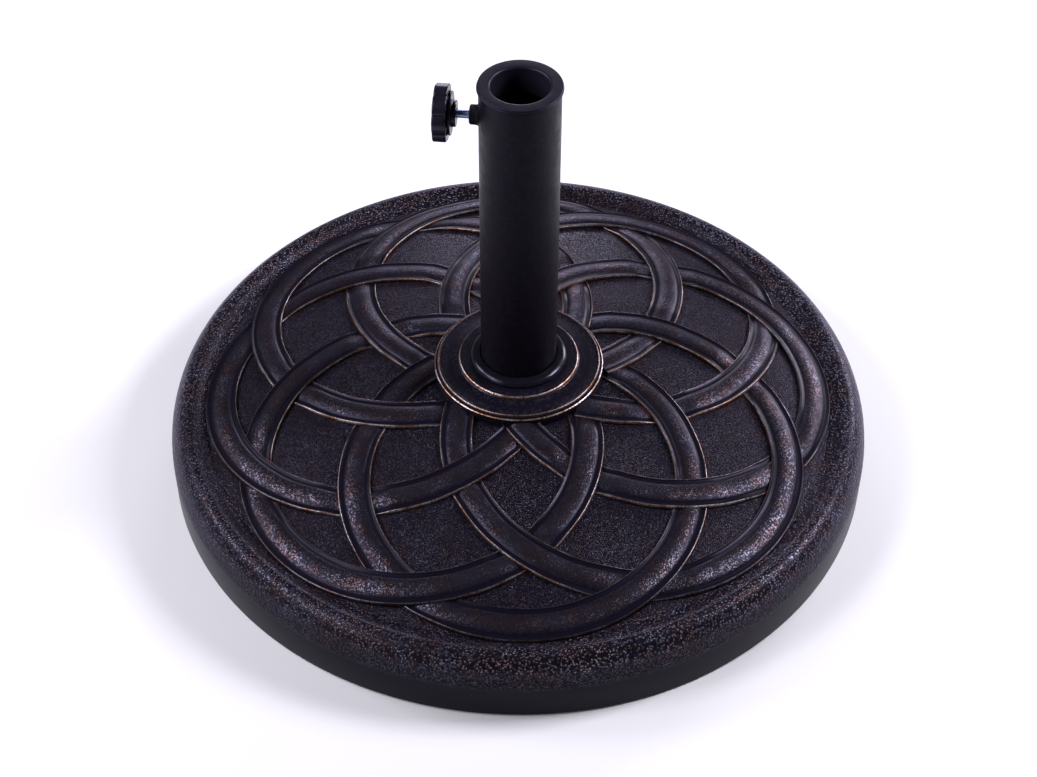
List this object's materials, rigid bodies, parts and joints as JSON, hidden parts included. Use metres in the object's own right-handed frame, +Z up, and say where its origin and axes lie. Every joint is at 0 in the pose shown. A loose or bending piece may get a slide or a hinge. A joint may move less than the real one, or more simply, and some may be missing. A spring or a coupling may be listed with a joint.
{
  "type": "parasol base",
  "caption": "Round weighted parasol base with an interlaced band relief, an upright tube, a reducer bush and a side clamping knob.",
  "frame": {"origin": "on the ground, at the centre of the disc", "axes": "+Z up along the tube; the clamping screw lies along X, with its knob on the -X side"},
  "size_m": [0.508, 0.508, 0.3244],
  "materials": {
    "cast_shell": "cast resin, black-brown paint with bronze rubbed on the raised edges, semi-gloss, grained floor and rim",
    "cement": "cast cement ballast, matt",
    "pan_plastic": "black moulded sheet, fine grain",
    "powder_coat": "satin dark powder coat with a faint bronze rub",
    "nut_black": "black powder coat over a welded nut",
    "zinc_steel": "zinc plated steel",
    "screw_zinc": "bright blue zinc plated thread",
    "bush_plastic": "black moulded plastic, satin",
    "knob_plastic": "black moulded plastic, satin",
    "gasket_rubber": "black rubber bead, semi-gloss",
    "foot_rubber": "black rubber, matt",
    "nylon": "natural nylon"
  },
  "bodies": {
    "stand": {"cast_shell": "cast_shell", "ballast_core": "cement", "underside_pan": "pan_plastic", "tube": "powder_coat", "tube_end_plug": "zinc_steel", "clamp_bolt": "zinc_steel", "lock_washer": "zinc_steel", "clamp_washer": "zinc_steel", "tube_gasket": "gasket_rubber", "weld_nut": "nut_black", "foot_1": "foot_rubber", "foot_2": "foot_rubber", "foot_3": "foot_rubber", "foot_4": "foot_rubber", "foot_5": "foot_rubber", "foot_6": "foot_rubber", "pan_screw_1": "zinc_steel", "pan_screw_2": "zinc_steel", "pan_screw_3": "zinc_steel", "pan_screw_4": "zinc_steel", "pan_screw_5": "zinc_steel", "pan_screw_6": "zinc_steel"},
    "reducer": {"reducer_bush": "bush_plastic"},
    "tip": {"pressure_tip": "nylon"},
    "knob": {"clamp_screw": "screw_zinc", "knob_grip": "knob_plastic", "knob_cap": "knob_plastic"}
  },
  "joints": [
    {"name": "reducer_lift", "type": "slide", "parent": "stand", "child": "reducer", "axis": [0, 0, 1], "range_m": [0, 0.03]},
    {"name": "screw_advance", "type": "slide", "parent": "stand", "child": "tip", "axis": [1, 0, 0], "range_m": [-0.006, 0.008]},
    {"name": "knob_turn", "type": "hinge", "parent": "tip", "child": "knob", "pos_m": [-0.051, 0, 0.2988], "axis": [1, 0, 0], "range_deg": [-2160, 2880]}
  ],
  "couplings": [
    {"joint": "knob_turn", "follows": "screw_advance", "rad_per_m": 6283.2}
  ]
}
